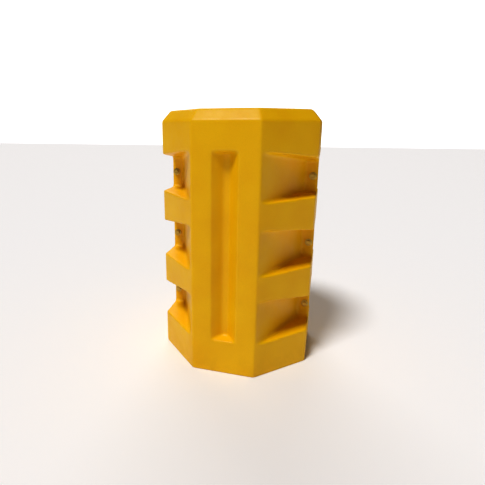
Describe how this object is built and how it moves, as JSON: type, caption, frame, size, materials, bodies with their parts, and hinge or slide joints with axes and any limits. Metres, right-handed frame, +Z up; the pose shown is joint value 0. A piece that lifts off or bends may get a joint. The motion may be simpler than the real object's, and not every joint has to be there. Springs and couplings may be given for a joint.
{
  "type": "column protector",
  "caption": "Octagonal two-piece guard that bolts round a square column, with stepped side pockets and a grooved face.",
  "frame": {"origin": "middle of the base, on the floor, on the column's axis", "axes": "+Z up along the column, -Y out of the front half's grooved face, +X to the right seen from the front"},
  "size_m": [0.61, 0.61, 1],
  "materials": {
    "yellow_polyethylene": "rotomoulded, satin",
    "black_polyethylene": "moulded",
    "grey_foam": "closed-cell foam, cut",
    "zinc_plated_steel": "zinc plated"
  },
  "bodies": {
    "front_half": {"front_half_shell": "yellow_polyethylene", "front_vent_plug": "black_polyethylene", "front_pad_middle_lower": "grey_foam", "front_pad_middle_upper": "grey_foam", "front_pad_west_lower": "grey_foam", "front_pad_west_upper": "grey_foam", "front_pad_east_lower": "grey_foam", "front_pad_east_upper": "grey_foam", "front_washer_left_lower": "zinc_plated_steel", "front_washer_left_middle": "zinc_plated_steel", "front_washer_left_upper": "zinc_plated_steel", "front_washer_right_lower": "zinc_plated_steel", "front_washer_right_middle": "zinc_plated_steel", "front_washer_right_upper": "zinc_plated_steel"},
    "rear_half": {"rear_half_shell": "yellow_polyethylene", "rear_vent_plug": "black_polyethylene", "rear_pad_middle_lower": "grey_foam", "rear_pad_middle_upper": "grey_foam", "rear_pad_west_lower": "grey_foam", "rear_pad_west_upper": "grey_foam", "rear_pad_east_lower": "grey_foam", "rear_pad_east_upper": "grey_foam", "rear_washer_left_lower": "zinc_plated_steel", "nut_left_lower": "zinc_plated_steel", "rear_washer_left_middle": "zinc_plated_steel", "nut_left_middle": "zinc_plated_steel", "rear_washer_left_upper": "zinc_plated_steel", "nut_left_upper": "zinc_plated_steel", "rear_washer_right_lower": "zinc_plated_steel", "nut_right_lower": "zinc_plated_steel", "rear_washer_right_middle": "zinc_plated_steel", "nut_right_middle": "zinc_plated_steel", "rear_washer_right_upper": "zinc_plated_steel", "nut_right_upper": "zinc_plated_steel"},
    "bolt_left_lower": {"bolt_left_lower": "zinc_plated_steel"},
    "bolt_left_middle": {"bolt_left_middle": "zinc_plated_steel"},
    "bolt_left_upper": {"bolt_left_upper": "zinc_plated_steel"},
    "bolt_right_lower": {"bolt_right_lower": "zinc_plated_steel"},
    "bolt_right_middle": {"bolt_right_middle": "zinc_plated_steel"},
    "bolt_right_upper": {"bolt_right_upper": "zinc_plated_steel"}
  },
  "joints": [
    {"name": "rear_half_pull_off", "type": "slide", "parent": "front_half", "child": "rear_half", "axis": [0, 1, 0], "range_m": [0, 0.35]},
    {"name": "bolt_left_lower_turn", "type": "hinge", "parent": "front_half", "child": "bolt_left_lower", "pos_m": [-0.2858, -0.01415, 0.20842], "axis": [0, 1, 0], "continuous": true},
    {"name": "bolt_left_middle_turn", "type": "hinge", "parent": "front_half", "child": "bolt_left_middle", "pos_m": [-0.2858, -0.01415, 0.47992], "axis": [0, 1, 0], "continuous": true},
    {"name": "bolt_left_upper_turn", "type": "hinge", "parent": "front_half", "child": "bolt_left_upper", "pos_m": [-0.2858, -0.01415, 0.75142], "axis": [0, 1, 0], "continuous": true},
    {"name": "bolt_right_lower_turn", "type": "hinge", "parent": "front_half", "child": "bolt_right_lower", "pos_m": [0.2858, -0.01415, 0.20842], "axis": [0, 1, 0], "continuous": true},
    {"name": "bolt_right_middle_turn", "type": "hinge", "parent": "front_half", "child": "bolt_right_middle", "pos_m": [0.2858, -0.01415, 0.47992], "axis": [0, 1, 0], "continuous": true},
    {"name": "bolt_right_upper_turn", "type": "hinge", "parent": "front_half", "child": "bolt_right_upper", "pos_m": [0.2858, -0.01415, 0.75142], "axis": [0, 1, 0], "continuous": true}
  ]
}
